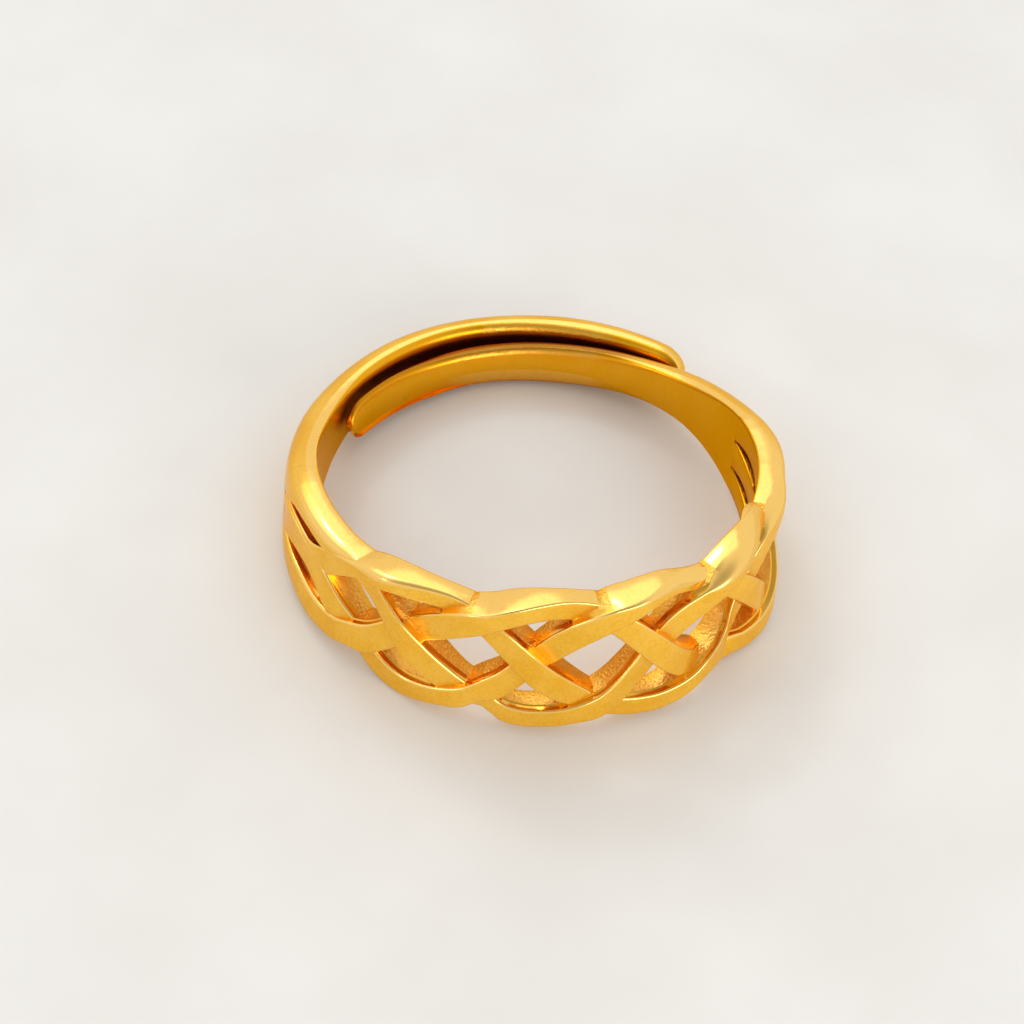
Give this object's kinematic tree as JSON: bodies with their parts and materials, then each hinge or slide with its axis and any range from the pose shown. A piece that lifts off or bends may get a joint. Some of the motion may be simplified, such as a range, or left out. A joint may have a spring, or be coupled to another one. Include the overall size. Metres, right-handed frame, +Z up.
{
  "type": "braided band ring",
  "caption": "Open finger ring in polished gold-coloured metal: an openwork braid of flat strands in front narrows to a plain half-round shank whose tails pass each other at the back.",
  "frame": {"origin": "centre of the finger bore, half-way up the braid", "axes": "+Z up from the surface that the ring lies on, -Y towards the middle of the braid, +Y towards the tails; the bore's axis leans back from +Z by the few degrees that the ring leans at rest"},
  "size_m": [0.0203, 0.0214, 0.0069],
  "materials": {
    "plated_metal": "polished, with satin strand faces"
  },
  "bodies": {
    "root": {"braided_band": "plated_metal"}
  },
  "joints": []
}
